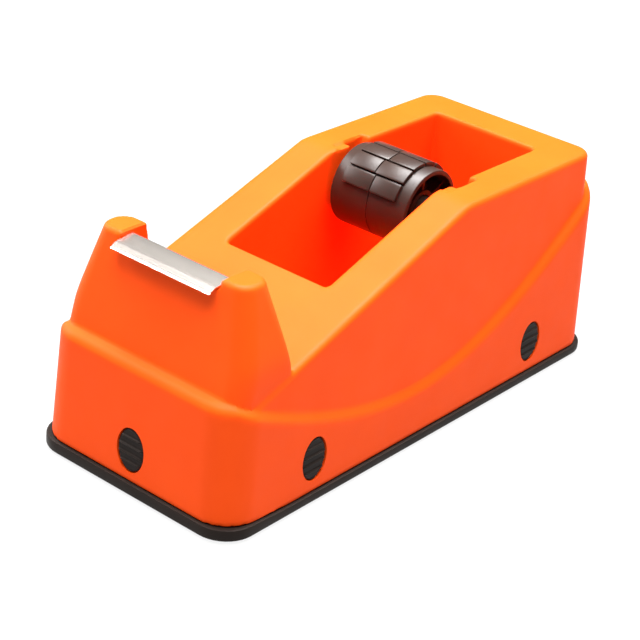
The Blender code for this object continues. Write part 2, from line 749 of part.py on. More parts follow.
def latch_pattern():
    """A tongue with a round root, and an oval head with grooves across its face."""
    half_width = LATCH_TONGUE_WIDTH / 2
    pattern = box(
        "latch pattern",
        (-LATCH_THICKNESS / 2, -half_width, 0),
        (LATCH_THICKNESS / 2, half_width, LATCH_TONGUE_HEIGHT),
    )
    root = turned(
        "latch root",
        [(0, -half_width), (LATCH_THICKNESS / 2, -half_width), (LATCH_THICKNESS / 2, half_width),
         (0, half_width)],
        16,
    )
    face = LATCH_THICKNESS / 2 + TOUCH_GAP + WALL - LATCH_FLUSH
    join(pattern, root, oval_block("latch head", 0, face))
    spacing = LATCH_HEAD_HEIGHT / (LATCH_GROOVES + 1)
    for groove in range(LATCH_GROOVES):
        z = LATCH_HEAD_Z - HINGE_Z + (groove - (LATCH_GROOVES - 1) / 2) * spacing
        low = (face - LATCH_GROOVE_DEPTH, -LATCH_HEAD_WIDTH, z - LATCH_GROOVE_WIDTH / 2)
        high = (face + WALL, LATCH_HEAD_WIDTH, z + LATCH_GROOVE_WIDTH / 2)
        cut(pattern, box(f"latch groove {groove}", low, high))
    return pattern


def make_latches(places):
    shared = settled("latch", latch_pattern()).data
    for name, (location, rotation) in places.items():
        latch = shape_from_mesh(name, shared)
        latch.location = location
        latch.rotation_euler = rotation
        as_part(latch, name, DARK)


# ---- blade ------------------------------------------------------------------------------------
def tooth_gaps():
    """The notches between the teeth, seen from above, as one saw-edged outline."""
    tip_x = blade_line(0)[2][0]
    count = round(BLADE_WIDTH / BLADE_TOOTH_PITCH)
    pitch = BLADE_WIDTH / count
    outline = [(tip_x - WALL, -BLADE_WIDTH), (tip_x, -BLADE_WIDTH)]
    for tooth in range(-1, count + 1):
        y = (tooth - count / 2) * pitch
        outline.append((tip_x + BLADE_TOOTH_DEPTH, y))
        outline.append((tip_x - HIDDEN_STEP, y + pitch / 2))
    outline += [(tip_x, BLADE_WIDTH), (tip_x - WALL, BLADE_WIDTH)]
    return flat_plate("tooth gaps", outline, FAR)


def make_blade():
    top = blade_line(0)
    under = blade_line(BLADE_THICKNESS)
    back_x = BLADE_BACK_X
    foot_z = BLADE_TOP_Z - BLADE_FLANGE
    outline = top + [under[2], under[1]]
    outline += [(back_x - BLADE_THICKNESS, under[0][1]), (back_x - BLADE_THICKNESS, foot_z)]
    outline += [(back_x, foot_z)]
    blade = side_plate("blade plate", outline, BLADE_WIDTH)
    return as_part(cut(blade, tooth_gaps()), "blade", STEEL)


# ---- hub and axle -----------------------------------------------------------------------------
def tube(name, inner, outer, low_y, high_y):
    profile = [(outer, low_y), (outer, high_y), (inner, high_y), (inner, low_y)]
    return turned(name, profile, HUB_STEPS)


def arc_pad(name, start, sweep, low_y, high_y):
    """One raised pad on the drum, between two angles about the Y axis."""
    steps = 3
    angles = [start + sweep * step / steps for step in range(steps + 1)]
    inner = HUB_DRUM_RADIUS - OVERLAP
    arc = [(HUB_PAD_RADIUS, angle) for angle in angles]
    arc += [(inner, angle) for angle in reversed(angles)]
    rings = [[(r * math.cos(a), y, r * math.sin(a)) for r, a in arc] for y in (low_y, high_y)]
    return loft(name, rings)


def spoke(name, angle, low_y, high_y):
    inner = AXLE_RADIUS + TOUCH_GAP + HUB_SLEEVE_WALL - OVERLAP
    outer = HUB_DRUM_RADIUS - HUB_DRUM_WALL + OVERLAP
    half = HUB_SPOKE_THICKNESS / 2
    plate = box(name, (inner, low_y, -half), (outer, high_y, half))
    plate.rotation_euler = (0, angle, 0)
    return plate


def spigot_ring(name, drum_bore, seam):
    """A ring fast in the left drum, whose nose centres the right drum."""
    bore = drum_bore - HUB_DRUM_WALL
    nose = drum_bore - TOUCH_GAP
    root = drum_bore + OVERLAP
    profile = [
        (nose, -HUB_SPIGOT_LENGTH),
        (nose, seam),
        (root, seam),
        (root, HUB_SPIGOT_LENGTH),
        (bore, HUB_SPIGOT_LENGTH),
        (bore, -HUB_SPIGOT_LENGTH),
    ]
    return turned(name, profile, HUB_STEPS)


def hub_half(name, side, spigot):
    """Drum, sleeve, spokes and pads on one side (+1 left, -1 right) of the hub's middle."""
    def span(near, far):
        return sorted((side * near, side * far))

    seam = TOUCH_GAP / 2
    end = HUB_LENGTH / 2
    recess = end - HUB_SPOKE_RECESS
    drum_bore = HUB_DRUM_RADIUS - HUB_DRUM_WALL
    sleeve_bore = AXLE_RADIUS + TOUCH_GAP
    drum = tube(f"{name} drum", drum_bore, HUB_DRUM_RADIUS, *span(seam, end))
    sleeve = tube(f"{name} sleeve", sleeve_bore, sleeve_bore + HUB_SLEEVE_WALL, *span(seam, recess))
    join(drum, sleeve)
    for index in range(HUB_SPOKES):
        angle = 2 * math.pi * index / HUB_SPOKES
        y_span = span(HUB_SPIGOT_LENGTH + TOUCH_GAP, recess - OVERLAP)
        join(drum, spoke(f"{name} spoke {index}", angle, *y_span))
    slit = HUB_PAD_SLIT / HUB_PAD_RADIUS
    sweep = HUB_PAD_PITCH - slit
    for row in range(2):
        for index in range(HUB_PADS_IN_ROW):
            start = HUB_ROW_START + row * HUB_ROW_SPACING + index * HUB_PAD_PITCH + slit / 2
            y_span = span(seam + HIDDEN_STEP, seam + HUB_PAD_LENGTH)
            join(drum, arc_pad(f"{name} pad {row} {index}", start, sweep, *y_span))
    if spigot:
        join(drum, spigot_ring(f"{name} spigot", drum_bore, seam + HIDDEN_STEP))
    half = settled(name, drum)
    half.location = (HUB_X, HUB_SHIFT, HUB_Z)
    return as_part(half, name, DARK)


def make_axle():
    reach = SLOT_REACH - SLIDE_GAP
    chamfer = OVERLAP
    profile = [
        (0, -reach),
        (AXLE_RADIUS - chamfer, -reach),
        (AXLE_RADIUS, -reach + chamfer),
        (AXLE_RADIUS, reach - chamfer),
        (AXLE_RADIUS - chamfer, reach),
        (0, reach),
    ]
    axle = turned("axle", profile, 32)
    axle.location = (HUB_X, 0, HUB_Z)
    return as_part(axle, "hub_axle", DARK)


def make_dispenser():
    latch_places = latch_layout()
    make_housing(latch_places)
    make_tray(latch_places)
    make_feet()
    make_ballast()
    make_latches(latch_places)
    make_blade()
    hub_half("hub_left_half", 1, spigot=True)
    hub_half("hub_right_half", -1, spigot=False)
    make_axle()


make_dispenser()
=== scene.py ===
# %% [markdown]
# # A desk tape dispenser
#
# The dispenser is a hollow moulded housing on a weighted tray. It carries a serrated blade on its
# front tower, a two-part hub in an open well, and six ribbed latch buttons that hold the tray on.
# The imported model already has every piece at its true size, so this lesson only gives those
# pieces their fine shapes and their finishes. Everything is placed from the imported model's boxes.

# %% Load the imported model
import json
import math

import bmesh
import bpy
import numpy as np
from mathutils import Matrix, Vector

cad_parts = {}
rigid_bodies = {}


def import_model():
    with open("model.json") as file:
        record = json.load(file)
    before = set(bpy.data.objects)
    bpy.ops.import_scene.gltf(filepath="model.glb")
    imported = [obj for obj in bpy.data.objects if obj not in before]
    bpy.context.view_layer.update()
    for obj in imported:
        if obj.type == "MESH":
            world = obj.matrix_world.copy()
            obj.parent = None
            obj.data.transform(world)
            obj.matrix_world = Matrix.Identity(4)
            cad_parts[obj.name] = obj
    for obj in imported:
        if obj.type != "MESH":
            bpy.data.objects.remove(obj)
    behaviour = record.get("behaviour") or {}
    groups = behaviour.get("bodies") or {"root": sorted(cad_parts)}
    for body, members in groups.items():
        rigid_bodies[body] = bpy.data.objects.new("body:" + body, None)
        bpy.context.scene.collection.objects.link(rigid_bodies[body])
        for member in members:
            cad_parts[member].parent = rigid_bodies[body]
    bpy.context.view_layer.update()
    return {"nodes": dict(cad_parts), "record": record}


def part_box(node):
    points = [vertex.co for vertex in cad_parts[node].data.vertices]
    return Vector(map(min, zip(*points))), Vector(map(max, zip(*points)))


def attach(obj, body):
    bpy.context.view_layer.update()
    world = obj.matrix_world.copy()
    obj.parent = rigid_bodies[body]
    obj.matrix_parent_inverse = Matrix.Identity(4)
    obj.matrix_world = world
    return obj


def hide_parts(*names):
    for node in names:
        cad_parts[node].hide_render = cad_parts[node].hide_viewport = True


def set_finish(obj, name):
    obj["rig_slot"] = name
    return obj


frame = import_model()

MM = 0.001

# %% [markdown]
# Lengths below are in millimetres, because that is how a toolmaker would give them, and one helper
# turns a finished list of points and faces into a mesh in metres. A second helper hands a
# piece to the body that it moves with, and hides the plain piece that it stands for.

# %% Helpers for every piece


def mesh_piece(name, points, faces):
    mesh = bpy.data.meshes.new(name)
    mesh.from_pydata([tuple(c * MM for c in p) for p in points], [], faces)
    mesh.validate()
    piece = bpy.data.objects.new(name, mesh)
    bpy.context.scene.collection.objects.link(piece)
    return piece


def bmesh_piece(name, bm):
    bmesh.ops.scale(bm, vec=(MM, MM, MM), verts=bm.verts)
    bmesh.ops.recalc_face_normals(bm, faces=bm.faces)
    mesh = bpy.data.meshes.new(name)
    bm.to_mesh(mesh)
    bm.free()
    piece = bpy.data.objects.new(name, mesh)
    bpy.context.scene.collection.objects.link(piece)
    return piece


def apply_modifiers(piece):
    bpy.context.view_layer.update()
    evaluated = piece.evaluated_get(bpy.context.evaluated_depsgraph_get())
    finished = bpy.data.meshes.new_from_object(evaluated)
    piece.modifiers.clear()
    piece.data = finished
    return piece


def smooth(piece, angle=35):
    piece.data.shade_smooth()
    piece.data.set_sharp_from_angle(angle=math.radians(angle))
    return piece


def soften(piece, width, segments=3, angle=35):
    """Round every edge that is sharper than the angle."""
    bevel = piece.modifiers.new("soft edges", "BEVEL")
    bevel.width = width * MM
    bevel.segments = segments
    bevel.limit_method = "ANGLE"
    bevel.angle_limit = math.radians(angle)
    bevel.harden_normals = False
    return apply_modifiers(piece)


def fit(piece, body, slot, *nodes):
    """The piece moves with the body, takes its finish from the slot and stands for the nodes."""
    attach(piece, body)
    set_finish(piece, slot)
    if nodes:
        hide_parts(*nodes)
    print(piece.name, "on", body, "-", len(piece.data.polygons), "faces")
    return piece


def box_mm(node):
    low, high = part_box(node)
    return [v / MM for v in low], [v / MM for v in high]


# %% [markdown]
# ## The housing
#
# On the real dispenser the housing is one injection moulding. Its skirt leans in a little, a
# ledge sweeps along the sides as a wave, the upper body carries the deck and the well, and a
# tower with two horns stands at the front. Every edge is softly rounded, and soft edges where
# many faces meet are hard to bevel. So the housing is written as a distance rule: a function that
# says how far any point is from the surface, negative inside. Rounded joins and cuts are then
# plain sums, and a net of small faces is laid where the rule is zero.

# %% Sizes of the housing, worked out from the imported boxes
tray_low, tray_high = box_mm("base_tray")
shell_low, shell_high = box_mm("body_shell")
axle_low, axle_high = box_mm("hub_axle")
blade_low, blade_high = box_mm("blade")
front, back, half_base = tray_low[0], tray_high[0], tray_high[1]
wall = 2.2
gap = 0.3
skirt_z = shell_low[2]
horn_z = shell_high[2]
ledge_z = 36.5
knee_z = 43.5
hub_x = (axle_low[0] + axle_high[0]) / 2
hub_z = (axle_low[2] + axle_high[2]) / 2
axle_radius = (axle_high[2] - axle_low[2]) / 2
plateau_z = hub_z + 10.8
valley_x, valley_z = front + 25.3, 39.7
break_x = hub_x - 8.4
print("plateau at", round(plateau_z, 2), "mm, horns at", round(horn_z, 2), "mm")

# %% [markdown]
# Three small rules are used all through the housing: a rectangle in plan with round corners, a
# rounded "inside both", and its mirror, a filleted "inside either". The last two are the usual
# maximum and minimum of two distances, with the corner between them rounded off.

# %% Rounded plan and soft joins


def plan_distance(x, y, x0, x1, half, radius, back_radius=None):
    """Distance from a rectangle in plan with round corners, which may differ at the back."""
    if back_radius is not None:
        radius = np.where(x < (x0 + x1) / 2, radius, back_radius)
    across = np.abs(x - (x0 + x1) / 2) - ((x1 - x0) / 2 - radius)
    along = np.abs(y) - (half - radius)
    outside = np.hypot(np.maximum(across, 0), np.maximum(along, 0))
    return outside + np.minimum(np.maximum(across, along), 0) - radius


def soft_both(a, b, radius):
    """Inside both shapes, with a round edge of that radius where they cross."""
    outside = np.hypot(np.maximum(radius + a, 0), np.maximum(radius + b, 0))
    return np.minimum(-radius, np.maximum(a, b)) + outside


def soft_either(a, b, radius):
    """Inside either shape, with a round fillet of that radius in the corner between them."""
    return -soft_both(-a, -b, radius)


print("edge of two faces that meet 1 mm away:", soft_both(-1.0, -1.0, 0.5), "mm")

# %% [markdown]
# Two lines give the housing its look from the side. The ledge falls from the front in a wave, is
# lowest near the middle and climbs to the back, so it is one smooth line through three points with
# given slopes. The tray's rim is a little thicker at the front, and the housing stands on it.

# %% The wave and the rim
WAVE_CREST = (front + 6, ledge_z)
WAVE_LOW = (front + 74, 17.8)
WAVE_TAIL = (back - 4, 55)
WAVE_FRONT_SLOPE, WAVE_BACK_SLOPE = -0.45, 0.745
RIM_FRONT_Z, RIM_DROP = 3.8, 0.8
RIM_FALL_START, RIM_FALL_RUN = 5, 21


def eased(t):
    t = np.clip(t, 0, 1)
    return t * t * (3 - 2 * t)


def smooth_line(x, start, end, start_slope, end_slope):
    """A smooth line between two points with given slopes at its ends."""
    run = end[0] - start[0]
    t = np.clip((x - start[0]) / run, 0, 1)
    return (
        (2 * t**3 - 3 * t**2 + 1) * start[1]
        + (t**3 - 2 * t**2 + t) * run * start_slope
        + (3 * t**2 - 2 * t**3) * end[1]
        + (t**3 - t**2) * run * end_slope
    )


def wave_z(x):
    """Height of the ledge along the side."""
    falling = smooth_line(x, WAVE_CREST, WAVE_LOW, WAVE_FRONT_SLOPE, 0)
    rising = smooth_line(x, WAVE_LOW, WAVE_TAIL, 0, WAVE_BACK_SLOPE)
    return np.where(x < WAVE_LOW[0], falling, rising)


def rim_z(x):
    """Top of the tray's rim, which is thicker at the front."""
    return RIM_FRONT_Z - RIM_DROP * eased((x - front - RIM_FALL_START) / RIM_FALL_RUN)


print("ledge in the middle:", round(float(wave_z(0)), 1), "mm high")

# %% [markdown]
# The skirt is the plan of the base, drawn in as it rises and cut off along the wave. The upper
# body is a narrower plan, cut off along the sloped deck and the level plateau. Both lean in a
# little, as a moulding has to so that it comes out of its mould.

# %% Distance rules of the skirt and the body
RIM_STEP, SKIRT_CORNER, SKIRT_ROUND = 0.8, 10.1, 2.8
BODY_FRONT, BODY_BACK, BODY_SIDE = 7.5, 6.7, 5.2
BODY_CORNER, BODY_ROUND, BREAK_ROUND = 5.6, 1.5, 0.8
TAN_SKIRT = math.tan(math.radians(2))
TAN_BODY = math.tan(math.radians(1))
TAN_BODY_SIDE = math.tan(math.radians(3))
DECK_SLOPE = (plateau_z - valley_z) / (break_x - valley_x)


def skirt_distance(x, y, z):
    inset = RIM_STEP + (z - skirt_z) * TAN_SKIRT
    side = plan_distance(x, y, front + inset, back - inset, half_base - inset, SKIRT_CORNER)
    rise = (z - wave_z(x)) / np.hypot(1, (wave_z(x + 0.5) - wave_z(x - 0.5)))
    return soft_both(side, rise, SKIRT_ROUND)


def body_distance(x, y, z):
    x0 = front + BODY_FRONT - (knee_z - z) * TAN_BODY
    x1 = back - BODY_BACK + (plateau_z - z) * TAN_BODY
    half = half_base - BODY_SIDE + (plateau_z - z) * TAN_BODY_SIDE
    side = plan_distance(x, y, x0, x1, half, BODY_CORNER)
    slope = (z - valley_z - DECK_SLOPE * (x - valley_x)) / math.hypot(1, DECK_SLOPE)
    top = soft_both(slope, z - plateau_z, BREAK_ROUND)
    return soft_both(side, top, BODY_ROUND)


print("deck slope:", round(math.degrees(math.atan(DECK_SLOPE)), 1), "degrees")

# %% [markdown]
# The tower's front is one leaning plane from the ledge to the horns, and its sides lean in above
# a soft knee. Its front corners are well rounded. Its back corners start nearly sharp where the
# tower meets the deck, and get rounder towards the horns.

# %% Distance rule of the tower
TOWER_FOOT, TOWER_LEAN, TOWER_BACK_LEAN = 5.4, 6.1, 4.3
TOWER_HALF, TOWER_TAPER, KNEE_SOFTNESS = 30.9, 6.1, 0.02
TOWER_CORNER, TOWER_CORNER_LOSS = 5.7, 1.2
BACK_CORNER, BACK_CORNER_GAIN = 1.2, 3.3
HORN_DROP, HORN_ROUND = 0.6, 1.1


def tower_distance(x, y, z):
    rise = (z - knee_z) / (horn_z - knee_z)
    share = (rise + np.sqrt(rise**2 + KNEE_SOFTNESS)) / 2
    x0 = front + TOWER_FOOT + TOWER_LEAN * np.maximum(z - ledge_z, 0) / (horn_z - ledge_z)
    x1 = valley_x - TOWER_BACK_LEAN * (z - valley_z) / (horn_z - valley_z)
    half = TOWER_HALF - TOWER_TAPER * share
    radius = np.minimum(TOWER_CORNER - TOWER_CORNER_LOSS * share, (x1 - x0) / 2 - 0.4)
    back_radius = np.minimum(BACK_CORNER + BACK_CORNER_GAIN * share, (x1 - x0) / 2 - 0.3)
    side = plan_distance(x, y, x0, x1, half, radius, back_radius)
    return soft_both(side, z - horn_z + HORN_DROP, HORN_ROUND)


print("tower foot:", 2 * TOWER_HALF, "mm wide, top:", 2 * (TOWER_HALF - TOWER_TAPER), "mm wide")

# %% [markdown]
# Four cuts are taken out of the block: the well, the two slots that the axle drops into, the
# shallow ramps that lead it there, and the seat of the blade between the horns. The slots lean
# back, so that a pull on the tape pushes the axle down into them.

# %% Distance rules of the cuts
WELL_X = (front + 52.6, back - 20)
WELL_HALF, WELL_FLOOR_Z, WELL_CORNER, WELL_FLOOR_ROUND = 17.65, 11, 1.4, 1.2
SLOT_LEAN, SLOT_DEPTH, CUT_ROUND = math.radians(18), 2.6, 0.5
RAMP_LENGTH, RAMP_DEPTH, RAMP_ROUND = 9.2, 0.5, 0.4
SEAT_DROP, SEAT_SLOPE, SEAT_STEP, SEAT_REACH = 0.9, 0.115, 3.2, 23
FLANGE_X = front + 16.1


def well_distance(x, y, z):
    side = plan_distance(x, y, WELL_X[0], WELL_X[1], WELL_HALF, WELL_CORNER)
    return soft_both(side, WELL_FLOOR_Z - z, WELL_FLOOR_ROUND)


def slot_distance(x, y, z):
    """The two leaning slots that the axle drops into, cut as one through both walls."""
    along = (x - hub_x) * math.sin(SLOT_LEAN) + (z - hub_z) * math.cos(SLOT_LEAN)
    across = (x - hub_x) * math.cos(SLOT_LEAN) - (z - hub_z) * math.sin(SLOT_LEAN)
    round_end = np.hypot(across, np.minimum(along, 0)) - (axle_radius + gap)
    return soft_both(round_end, np.abs(y) - (WELL_HALF + SLOT_DEPTH), CUT_ROUND)


def ramp_distance(x, y, z):
    """The shallow lead-in ahead of each slot."""
    mouth_x = hub_x + (plateau_z - hub_z) * math.tan(SLOT_LEAN)
    span = np.maximum(mouth_x - RAMP_LENGTH - x, x - mouth_x)
    notch = soft_both(span, plateau_z - RAMP_DEPTH - z, RAMP_ROUND)
    return soft_both(notch, np.abs(y) - (WELL_HALF + SLOT_DEPTH), CUT_ROUND)


def blade_seat_distance(x, y, z):
    """The gap between the horns, down to just below the blade and its back flange."""
    bed = blade_high[2] - SEAT_DROP
    run = x - FLANGE_X
    floor = np.where(run < 0, bed + SEAT_SLOPE * run, bed - SEAT_STEP * eased(run / 2.2))
    reach = x - (front + SEAT_REACH)
    side = np.maximum(np.abs(y) - (blade_high[1] + gap), reach)
    return soft_both(side, floor - z, CUT_ROUND)


print("well:", round(WELL_X[1] - WELL_X[0], 1), "by", 2 * WELL_HALF, "mm")

# %% [markdown]
# The whole housing is the three blocks joined, less the four cuts, made into a wall of even
# thickness and cut off just above the tray's rim. The fillet behind the tower fades out towards
# the sides, where the tower's flanks run straight into those of the body.

# %% Distance rule of the whole housing
LEDGE_FILLET, VALLEY_FILLET, FILLET_HALF, FILLET_FADE = 0.9, 0.7, 28.5, 3
WELL_EDGE, SLOT_EDGE, SEAT_EDGE, FOOT_EDGE = 0.9, 0.6, 0.5, 0.35


def housing_distance(x, y, z):
    outer = soft_either(skirt_distance(x, y, z), body_distance(x, y, z), LEDGE_FILLET)
    fillet = 0.02 + VALLEY_FILLET * eased((FILLET_HALF - np.abs(y)) / FILLET_FADE)
    outer = soft_either(outer, tower_distance(x, y, z), fillet)
    outer = soft_both(outer, -well_distance(x, y, z), WELL_EDGE)
    for cut in (ramp_distance, slot_distance):
        outer = soft_both(outer, -cut(x, y, z), SLOT_EDGE)
    outer = soft_both(outer, -blade_seat_distance(x, y, z), SEAT_EDGE)
    shell = np.maximum(outer, -(outer + wall))
    return soft_both(shell, rim_z(x) + gap - z, FOOT_EDGE)


room = float(housing_distance(hub_x, 0.0, hub_z))
print("room round the middle of the hub:", round(room, 1), "mm")

# %% [markdown]
# To lay the net, space is filled with small cells. A cell that the surface passes through gets one
# point, and every cell edge that crosses the surface gets a face between its four cells. The
# points are then slid onto the exact surface along the rule's own slope, so that flat faces come
# out flat and round edges come out round, whatever the size of the cells.

# %% Points of the net


def slide_to_surface(rule, points, steps=5):
    """Move points along the rule's slope until they lie where it is zero."""
    reach = 0.02
    longest = 0.3
    for _ in range(steps):
        x, y, z = points.T
        value = rule(x, y, z)
        slope = np.stack(
            [
                rule(x + reach, y, z) - rule(x - reach, y, z),
                rule(x, y + reach, z) - rule(x, y - reach, z),
                rule(x, y, z + reach) - rule(x, y, z - reach),
            ],
            axis=1,
        ) / (2 * reach)
        steep = np.maximum((slope**2).sum(1), 0.25)
        shift = (value / steep)[:, None] * slope
        points = points - np.clip(shift, -longest, longest)
    return points


def corner_values(rule, low, high, cell):
    """The rule's value at every corner of the cells."""
    counts = [int(math.ceil((b - a) / cell)) + 1 for a, b in zip(low, high)]
    axes = [a + cell * np.arange(n) for a, n in zip(low, counts)]
    grid = np.meshgrid(*axes, indexing="ij")
    values = np.empty(counts, np.float32)
    for i in range(counts[0]):
        values[i] = rule(grid[0][i], grid[1][i], grid[2][i])
    return values


def crossed_cells(values):
    """A number for each cell that the surface passes through, and -1 for the others."""
    inside = values < 0
    size = [n - 1 for n in values.shape]
    corners_inside = sum(
        inside[dx : size[0] + dx, dy : size[1] + dy, dz : size[2] + dz].astype(int)
        for dx in (0, 1)
        for dy in (0, 1)
        for dz in (0, 1)
    )
    crossed = (corners_inside > 0) & (corners_inside < 8)
    number = np.full(crossed.shape, -1)
    number[crossed] = np.arange(crossed.sum())
    return number


def cell_points(values, number, low, cell):
    """The mean of the places where the surface crosses a cell's edges, for each crossed cell."""
    places = np.argwhere(number >= 0)
    total = np.zeros((len(places), 3))
    hits = np.zeros(len(places))
    for axis in range(3):
        others = [a for a in range(3) if a != axis]
        for da in (0, 1):
            for db in (0, 1):
                start = places.copy()
                start[:, others[0]] += da
                start[:, others[1]] += db
                end = start.copy()
                end[:, axis] += 1
                a = values[tuple(start.T)]
                b = values[tuple(end.T)]
                crosses = (a < 0) != (b < 0)
                share = np.where(crosses, a / np.where(crosses, a - b, 1), 0)
                point = start + 0.0
                point[:, axis] += share
                total[crosses] += point[crosses]
                hits[crosses] += 1
    return np.array(low) + cell * total / hits[:, None]


print("points are slid until they lie on the surface, by steps of at most 0.3 mm")

# %% [markdown]
# The faces come from the cell edges. Wherever one end of an edge is inside and the other is
# outside, the four cells round that edge are joined by one face, turned so that it looks outwards.

# %% Faces of the net, and the housing


def cell_faces(values, number):
    inside = values < 0
    faces = []
    for axis in range(3):
        others = [(axis + 1) % 3, (axis + 2) % 3]
        near = [slice(None)] * 3
        far = [slice(None)] * 3
        near[axis] = slice(0, -1)
        far[axis] = slice(1, None)
        first, second = inside[tuple(near)], inside[tuple(far)]
        edges = np.argwhere(first != second)
        edges = edges[(edges[:, others[0]] > 0) & (edges[:, others[1]] > 0)]
        corners = []
        for da, db in ((-1, -1), (0, -1), (0, 0), (-1, 0)):
            cell_place = edges.copy()
            cell_place[:, others[0]] += da
            cell_place[:, others[1]] += db
            corners.append(number[tuple(cell_place.T)])
        quads = np.stack(corners, axis=1)
        outward = first[tuple(edges.T)]
        quads[~outward] = quads[~outward][:, ::-1]
        faces.append(quads)
    return np.concatenate(faces)


def surface_net(rule, low, high, cell):
    values = corner_values(rule, low, high, cell)
    number = crossed_cells(values)
    points = cell_points(values, number, low, cell)
    return slide_to_surface(rule, points), cell_faces(values, number)


cell = 0.75
MARGIN, FOOT_MARGIN, TOP_MARGIN = 1, 2, 1.5
low_corner = (front - MARGIN, -half_base - MARGIN, skirt_z - FOOT_MARGIN)
high_corner = (back + MARGIN, half_base + MARGIN, horn_z + TOP_MARGIN)
points, faces = surface_net(housing_distance, low_corner, high_corner, cell)
housing = mesh_piece("housing_shell", points.tolist(), faces.tolist())
print("housing net:", len(points), "points,", len(faces), "faces")

# %% [markdown]
# The six oval holes that the latch buttons fill go through thin walls with a crisp edge. A sharp
# edge would look ragged on the net, so these are cut afterwards with oval prisms, one for each
# latch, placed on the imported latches' boxes.

# %% Cut the latch holes
LATCHES = [name for name in frame["nodes"] if name.startswith("latch_")]
HEAD_WIDTH, HEAD_HEIGHT, HEAD_Z = 8.8, 12.0, 12.8
HOLE_GAP, HOLE_REACH = 0.32, 4.5


def latch_turn(name):
    """The way a latch faces, as a turn about the upright axis."""
    low, high = box_mm(name)
    middle = ((low[0] + high[0]) / 2, (low[1] + high[1]) / 2)
    if name in ("latch_front", "latch_back"):
        return 180 if middle[0] < 0 else 0
    return 90 if middle[1] > 0 else 270


def latch_spot(name):
    """Middle of the latch's outer face, in plan."""
    low, high = box_mm(name)
    turn = latch_turn(name)
    if turn in (0, 180):
        return Vector((high[0] if turn == 0 else low[0], 0, 0))
    return Vector(((low[0] + high[0]) / 2, high[1] if turn == 90 else low[1], 0))


def oval_prism(name, grow, reach):
    """A latch head's outline, grown by a gap, that reaches both ways through the skirt."""
    bm = bmesh.new()
    bmesh.ops.create_cone(bm, cap_ends=True, segments=64, radius1=0.5, radius2=0.5, depth=1)
    for vert in bm.verts:
        across, up, along = vert.co
        vert.co = (
            (along * 2) * reach,
            across * (HEAD_WIDTH + 2 * grow),
            up * (HEAD_HEIGHT + 2 * grow) + HEAD_Z,
        )
    return bmesh_piece(name, bm)


for latch in LATCHES:
    cutter = oval_prism("hole cutter", HOLE_GAP, HOLE_REACH)
    turn = Matrix.Rotation(math.radians(latch_turn(latch)), 4, "Z")
    cutter.matrix_world = Matrix.Translation(latch_spot(latch) * MM) @ turn
    hole = housing.modifiers.new("hole", "BOOLEAN")
    hole.operation = "DIFFERENCE"
    hole.object = cutter
    hole.solver = "EXACT"
    apply_modifiers(housing)
    bpy.data.objects.remove(cutter, do_unlink=True)
smooth(housing, 40)
fit(housing, "housing", "orange_plastic", "body_shell")

# %% [markdown]
# ## The blade
#
# The blade is a strip of thin steel. Its flat top rests on the tower between the horns, its front
# edge is rolled down into a bright band that ends in fine saw teeth, and its back edge is folded
# down into the tower. A cross-section swept along the strip gives the folds, and the last row of
# points is pushed in and out to make the teeth.

# %% Make the blade
blade_back = blade_high[0]
blade_top = blade_high[2]
blade_half = blade_high[1]
BLADE_THICKNESS, TIP_THICKNESS = 0.5, 0.12
PLATE_DEPTH, PLATE_DROP = 6.3, 0.7
FOLD_RADIUS = 0.6
BAND_DEPTH, BAND_DROP = 1.6, 0.9
TOOTH_PITCH, TOOTH_DEPTH, TOOTH_DROP = 0.84, 0.55, 0.25


def blade_section():
    """Top line of the strip from its back flange to the foot of the teeth, as (x, z) points."""
    fold = (blade_back - FOLD_RADIUS, blade_top - FOLD_RADIUS)
    line = [(blade_back, blade_low[2]), (blade_back, fold[1])]
    line += [
        (fold[0] + FOLD_RADIUS * math.cos(a), fold[1] + FOLD_RADIUS * math.sin(a))
        for a in np.radians([22, 45, 67, 90])
    ]
    bend = (blade_back - PLATE_DEPTH, blade_top - PLATE_DROP)
    line += [(bend[0] + 0.12, bend[1] + 0.013), (bend[0] - 0.12, bend[1] - 0.05)]
    line.append((bend[0] - BAND_DEPTH, bend[1] - BAND_DROP))
    return line


def section_normals(line):
    normals = []
    for i in range(len(line)):
        a, b = line[max(i - 1, 0)], line[min(i + 1, len(line) - 1)]
        dx, dz = b[0] - a[0], b[1] - a[1]
        length = math.hypot(dx, dz)
        normals.append((-dz / length, dx / length))
    return normals


def make_blade():
    line = blade_section()
    normals = section_normals(line)
    count = round(2 * blade_half / TOOTH_PITCH)
    stations = []
    for tooth in range(count):
        y0 = -blade_half + 2 * blade_half * tooth / count
        y1 = -blade_half + 2 * blade_half * (tooth + 0.5) / count
        stations += [(y0, 0), (y1, 1)]
    stations.append((blade_half, 0))
    tip_x = blade_low[0]
    tip_z = line[-1][1] - TOOTH_DROP
    points, faces = [], []
    rows = len(line) + 1
    for y, out in stations:
        tip = (tip_x + (0 if out else TOOTH_DEPTH), tip_z)
        column = line + [tip]
        below = normals + [normals[-1]]
        points += [(x, y, z) for x, z in column]
        for (x, z), (nx, nz) in zip(column, below):
            thin = TIP_THICKNESS if (x, z) == tip else BLADE_THICKNESS
            points.append((x + nx * thin, y, z + nz * thin))
    for s in range(len(stations) - 1):
        a, b = s * 2 * rows, (s + 1) * 2 * rows
        for r in range(rows - 1):
            faces.append((a + r, a + r + 1, b + r + 1, b + r))
            faces.append((a + rows + r, b + rows + r, b + rows + r + 1, a + rows + r + 1))
        faces.append((a, b, b + rows, a + rows))
        faces.append((a + rows - 1, a + 2 * rows - 1, b + 2 * rows - 1, b + rows - 1))
    for base, flip in ((0, False), ((len(stations) - 1) * 2 * rows, True)):
        for r in range(rows - 1):
            quad = (base + r, base + rows + r, base + rows + r + 1, base + r + 1)
            faces.append(quad[::-1] if flip else quad)
    return mesh_piece("blade_strip", points, faces)


